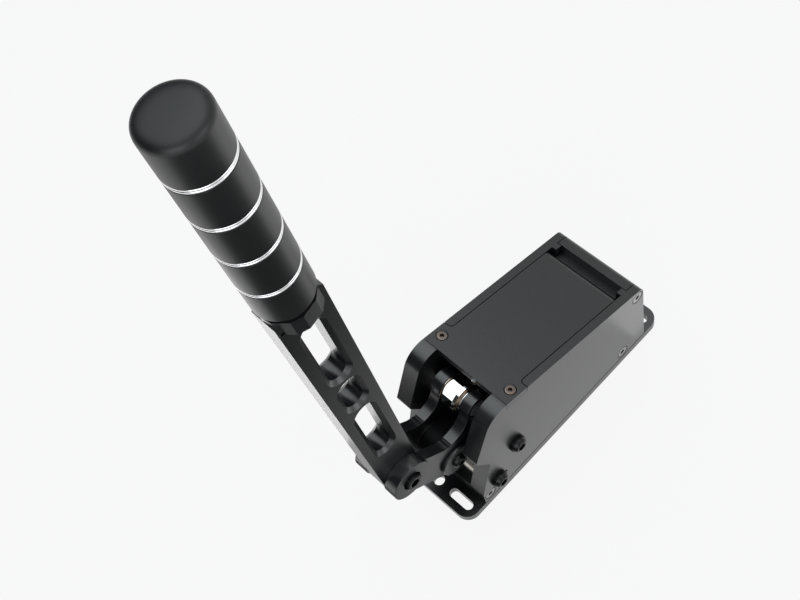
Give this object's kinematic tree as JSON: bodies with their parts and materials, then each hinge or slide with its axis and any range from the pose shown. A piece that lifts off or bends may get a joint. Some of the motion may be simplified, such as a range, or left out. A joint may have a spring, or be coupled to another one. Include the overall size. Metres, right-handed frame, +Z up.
{
  "type": "sim racing handbrake",
  "caption": "Upright lever with a banded round grip, clamped between dog-leg plates that swing in a wedge-shaped housing and push a sprung pressure cylinder; slotted base plate for bolting to a rig.",
  "frame": {"origin": "centre of the base plate's underside", "axes": "+X from the lever towards the closed rear of the housing, +Z up, square to the base plate, +Y left of the driver's pull, so that the lever swings in the XZ plane"},
  "size_m": [0.2378, 0.08, 0.453],
  "materials": {
    "black_anodised": "satin black anodised aluminium",
    "grip_black": "smooth matt black grip sleeves",
    "ring_silver": "polished bright rings",
    "chrome_plate": "bright plated nut and washers",
    "black_steel": "black oxide steel bolts",
    "screw_steel": "dark satin steel screws",
    "screw_bronze": "bronze grey screws",
    "bare_steel": "ground steel",
    "bright_aluminium": "turned aluminium",
    "pale_nickel": "pale warm plated spacers",
    "brass_bronze": "pale brass",
    "rubber_black": "black elastomer",
    "board_green": "green circuit board",
    "moulded_black": "black moulded plastic"
  },
  "bodies": {
    "housing": {"base_plate": "black_anodised", "side_plate_left": "black_anodised", "side_plate_right": "black_anodised", "lid": "black_anodised", "lid_screws": "screw_bronze", "side_screws": "screw_steel", "rear_cap": "black_anodised", "rear_panel": "black_anodised", "front_bar": "black_anodised", "rear_bar": "black_anodised", "base_screws": "screw_steel", "pivot_block": "black_anodised", "pivot_bushes": "moulded_black", "upper_frame_bolts": "black_steel", "lower_frame_bolts": "black_steel", "upper_spacers": "pale_nickel", "lower_spacers": "pale_nickel", "lower_washers": "black_steel", "dowel_pins": "black_steel", "rear_bracket": "black_anodised", "cylinder_pin": "bare_steel", "sensor_board": "board_green", "board_standoffs": "brass_bronze", "usb_socket": "bare_steel", "data_socket": "moulded_black"},
    "yoke": {"yoke_plate_left": "black_anodised", "yoke_plate_right": "black_anodised", "pivot_shaft": "bare_steel", "pivot_washers": "black_anodised", "pivot_screws": "black_steel", "knuckle_pin": "bare_steel", "knuckle_bolts": "black_steel", "clevis_pin": "bare_steel", "clevis_washers": "brass_bronze", "clevis_spacers": "chrome_plate"},
    "handle": {"arm": "black_anodised", "grip_rod": "bright_aluminium", "grip_lock_screw": "black_steel", "grip_cap": "grip_black", "grip_sleeve_1": "grip_black", "grip_sleeve_2": "grip_black", "grip_sleeve_3": "grip_black", "grip_sleeve_4": "grip_black", "grip_ring_1": "ring_silver", "grip_ring_2": "ring_silver", "grip_ring_3": "ring_silver", "grip_ring_4": "ring_silver"},
    "cylinder": {"cylinder_body": "bright_aluminium", "gland_nut": "brass_bronze", "bump_stop": "rubber_black", "return_spring": "bare_steel", "pressure_sensor": "brass_bronze"},
    "plunger": {"rod_end": "chrome_plate", "push_rod": "black_steel", "rod_lock_nut": "chrome_plate", "piston": "bright_aluminium", "piston_seal": "rubber_black"}
  },
  "joints": [
    {"name": "lever_pull", "type": "hinge", "parent": "housing", "child": "yoke", "pos_m": [-0.0795, 0, 0.0565], "axis": [0, 1, 0], "range_deg": [0, 15], "stiffness_Nm_per_rad": 60, "springref_deg": -8.59},
    {"name": "arm_angle", "type": "hinge", "parent": "yoke", "child": "handle", "pos_m": [-0.1128, 0, 0.0869], "axis": [0, 1, 0], "range_deg": [-25, 30]},
    {"name": "cylinder_swing", "type": "hinge", "parent": "housing", "child": "cylinder", "pos_m": [0.033, 0, 0.0172], "axis": [0, 1, 0], "range_deg": [-0.75, 0]},
    {"name": "plunger_slide", "type": "slide", "parent": "cylinder", "child": "plunger", "axis": [0.774, 0, -0.6332], "range_m": [0, 0.0106], "deforming": ["return_spring"]}
  ],
  "couplings": [
    {"joint": "cylinder_swing", "follows": "lever_pull", "ratio": -0.0473},
    {"joint": "plunger_slide", "follows": "lever_pull", "m_per_rad": 0.04038}
  ]
}
